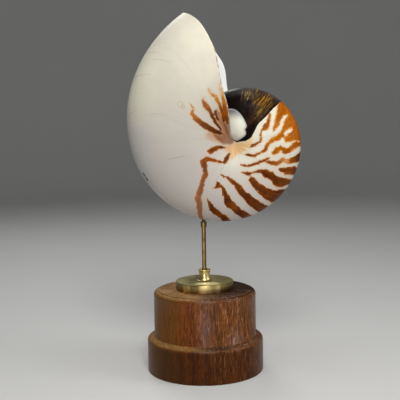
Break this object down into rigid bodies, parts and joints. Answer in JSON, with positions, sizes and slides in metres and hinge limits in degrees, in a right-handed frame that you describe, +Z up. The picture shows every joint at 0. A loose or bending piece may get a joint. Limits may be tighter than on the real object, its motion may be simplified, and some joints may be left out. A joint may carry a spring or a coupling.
{
  "type": "nautilus shell on a stand",
  "caption": "Whole chambered nautilus shell with an open body chamber, held upright by a brass rod on a turned wooden base.",
  "frame": {"origin": "centre of the round wooden base's underside, on the surface it stands on", "axes": "+Z up along the stem, +X to the right as seen from the front, +Y away from the viewer; the shell's plane of coiling is turned 4.3 degrees about +Z from the XZ plane"},
  "size_m": [0.1406, 0.096, 0.2915],
  "materials": {
    "shell": "satin",
    "brass": "satin",
    "wood": "satin"
  },
  "bodies": {
    "root": {"nautilus_shell": "shell", "brass_ferrule": "brass", "brass_rod": "brass", "brass_collar": "brass", "brass_disc": "brass", "wooden_base": "wood"}
  },
  "joints": []
}
